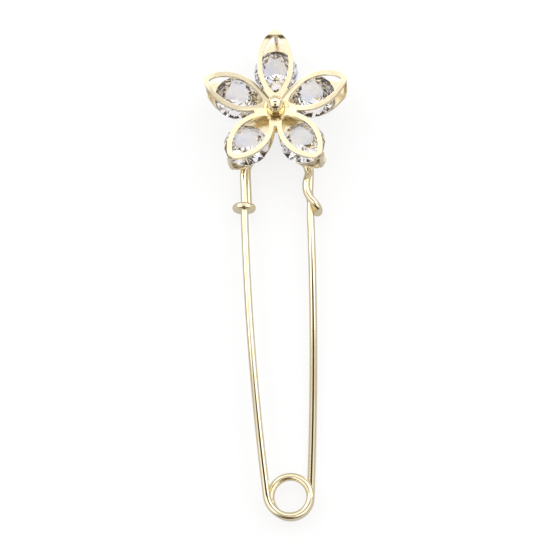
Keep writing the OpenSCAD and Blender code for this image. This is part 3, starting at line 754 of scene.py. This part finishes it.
# Floor, light and camera
def pale_floor():
    """A wide pale sheet, just uneven enough in tone to be paper. Seen straight on or through a stone it is lit
    from below, as on a light table. Its mirror image in the metal is a greyer copy, which is painted shade:
    the paper as it would look in the shade of the work."""
    half = 1.5
    mesh = bpy.data.meshes.new("pale_floor")
    corners = [(-half, -half, 0), (half, -half, 0), (half, half, 0), (-half, half, 0)]
    mesh.from_pydata(corners, [], [(0, 1, 2, 3)])
    floor = bpy.data.objects.new("pale_floor", mesh)
    bpy.context.scene.collection.objects.link(floor)
    m = bpy.data.materials.new("white_paper")
    m.use_nodes = True
    t = m.node_tree
    t.nodes.remove(t.nodes["Principled BSDF"])
    link = t.links.new
    where = node(t, "ShaderNodeTexCoord", -900)
    grain = set_inputs(node(t, "ShaderNodeTexNoise", -700), Scale=60)
    link(where.outputs["Object"], grain.inputs["Vector"])

    def lit_paper(low, high, glow, share):
        """Paper between two tones, mixed with a share of its own glow."""
        tone = two_tones(node(t, "ShaderNodeValToRGB", -450), (0, low), (1, high))
        paper = node(t, "ShaderNodeBsdfDiffuse", -100)
        light = set_inputs(node(t, "ShaderNodeEmission", -100), Strength=glow)
        mixed = set_inputs(node(t, "ShaderNodeMixShader", 100), Fac=share)
        link(grain.outputs["Fac"], tone.inputs["Fac"])
        link(tone.outputs["Color"], paper.inputs["Color"])
        link(tone.outputs["Color"], light.inputs["Color"])
        link(paper.outputs[0], mixed.inputs[1])
        link(light.outputs[0], mixed.inputs[2])
        return mixed.outputs[0]

    ray = node(t, "ShaderNodeLightPath", 0, 300)
    through = node(t, "ShaderNodeMath", 200, 300, operation="MAXIMUM")
    seen = node(t, "ShaderNodeMixShader", 300)
    link(ray.outputs["Is Camera Ray"], through.inputs[0])
    link(ray.outputs["Is Transmission Ray"], through.inputs[1])
    link(through.outputs[0], seen.inputs["Fac"])
    # Painted shade: the greyer paper, seen only in reflections, stands in for the floor in the shade of the
    # brooch
    link(lit_paper((0.53, 0.53, 0.535), (0.57, 0.57, 0.57), 1.15, 0.6), seen.inputs[1])
    link(lit_paper((0.93, 0.93, 0.935), (0.95, 0.95, 0.95), 1.12, 0.75), seen.inputs[2])
    link(seen.outputs[0], t.nodes["Material Output"].inputs["Surface"])
    mesh.materials.append(m)


def set_place(thing, x, y, z, origin):
    """Turns a light or camera to three directions square to each other, and moves it."""
    thing.matrix_world = Matrix(np.vstack([np.column_stack([x, y, z, origin]), [0, 0, 0, 1]]).tolist())


def soft_box(name, place, width, height, power):
    """A rectangular soft light that faces the middle of the floor."""
    light = bpy.data.lights.new(name, "AREA")
    light.shape = "RECTANGLE"
    light.size, light.size_y, light.energy = width, height, power
    box = bpy.data.objects.new(name, light)
    bpy.context.scene.collection.objects.link(box)
    z = unit(np.array(place))
    x = unit(np.cross([0, 1, 0.001], z))
    set_place(box, x, np.cross(z, x), z, np.array(place))


def studio_sky():
    """A bright, even tent. It is darker low down all round and darkest low in front, and dimmer in a narrow
    band to either side. Above the work it has two dark openings, one for the camera and one for the stand
    that holds it, and the room behind them is warm."""
    world = bpy.data.worlds.new("studio_tent")
    bpy.context.scene.world = world
    world.use_nodes = True
    t = world.node_tree
    link = t.links.new
    back = t.nodes["Background"]
    direction = node(t, "ShaderNodeTexCoord", -1600).outputs["Generated"]
    split = node(t, "ShaderNodeSeparateXYZ", -1400)
    link(direction, split.inputs["Vector"])
    x, y, z = split.outputs

    def ramp(source, low, high, bottom, top):
        """A smooth step of a value, from bottom at low to top at high."""
        made = set_inputs(node(t, "ShaderNodeMapRange", -1000, interpolation_type="SMOOTHSTEP"),
                          From_Min=low, From_Max=high, To_Min=bottom, To_Max=top)
        link(source, made.inputs["Value"])
        return made.outputs["Result"]

    def worked(operation, a, b=None):
        """A sum done on one or two values, each a socket or a plain number."""
        made = node(t, "ShaderNodeMath", -600, operation=operation)
        for value, socket in zip((a, b), made.inputs):
            if isinstance(value, float):
                socket.default_value = value
            elif value is not None:
                link(value, socket)
        return made.outputs[0]

    def opening(towards, inner, outer, dark, sideways=1.0):
        """1 away from a direction and dark near it, by the distance between the two unit vectors. A
        sideways share below 1 makes the opening that much wider from side to side."""
        away = node(t, "ShaderNodeVectorMath", -1200, operation="SUBTRACT")
        shaped = node(t, "ShaderNodeVectorMath", -1100, operation="MULTIPLY")
        length = node(t, "ShaderNodeVectorMath", -1050, operation="LENGTH")
        away.inputs[1].default_value = towards
        shaped.inputs[1].default_value = (sideways, 1, 1)
        link(direction, away.inputs[0])
        link(away.outputs["Vector"], shaped.inputs[0])
        link(shaped.outputs["Vector"], length.inputs[0])
        return ramp(length.outputs["Value"], inner, outer, dark, 1.0)

    horizon = ramp(z, 0.2, 0.62, 0.55, 1.0)
    front = ramp(y, -0.9, -0.55, 0.12, 1.0)
    camera = opening((0.0, -0.53, 0.848), 0.22, 0.34, 0.1)
    stand = opening((0.0, 0.12, 0.993), 0.1, 0.16, 0.05, sideways=0.18)
    band = ramp(worked("ABSOLUTE", worked("SUBTRACT", y, 0.165)), 0.04, 0.08, 0.7, 1.0)
    middle = ramp(worked("ABSOLUTE", x), 0.3, 0.5, 1.0, 0.0)
    around = worked("MULTIPLY", worked("MULTIPLY", horizon, front), worked("MAXIMUM", band, middle))
    strength = worked("MULTIPLY", around, worked("MULTIPLY", camera, stand))
    link(worked("MULTIPLY", strength, 1.15), back.inputs["Strength"])
    tint = set_inputs(node(t, "ShaderNodeMix", -400, data_type="RGBA"),
                      A=(1.0, 0.62, 0.24, 1), B=(1.0, 0.995, 0.99, 1))
    link(ramp(strength, 0.1, 0.5, 0.0, 1.0), tint.inputs["Factor"])
    link(tint.outputs["Result"], back.inputs["Color"])


def photo_camera():
    """The camera stands high over the brooch, past the coil's end and a little to the right, and looks at
    the brooch's middle. Its places are in millimetres, and the focal length is for a 36 mm wide sensor."""
    eye, aim = np.array([12.67, -74.44, 270.0]), np.array([-0.129, -0.228, 2.0])
    focal_px, frame_px, sensor, roll = 1739.85, 551, 36.0, math.radians(0.147)
    f = unit(aim - eye)
    r = unit(np.cross(f, [0, 1, 0]))
    u = np.cross(r, f)
    right = math.cos(roll) * r + math.sin(roll) * u
    up = -math.sin(roll) * r + math.cos(roll) * u
    camera = bpy.data.cameras.new("camera")
    camera.sensor_width = sensor
    camera.lens = focal_px / frame_px * sensor
    camera.clip_start = 0.01
    holder = bpy.data.objects.new("camera", camera)
    bpy.context.scene.collection.objects.link(holder)
    set_place(holder, right, up, -f, eye * MM)
    bpy.context.scene.camera = holder


pale_floor()
studio_sky()
for name, side in (("left_box", -0.5), ("right_box", 0.5)):
    soft_box(name, (side, 0.35, 0.45), width=0.4, height=0.5, power=0.7)
photo_camera()
bpy.context.scene.view_settings.view_transform = "Standard"
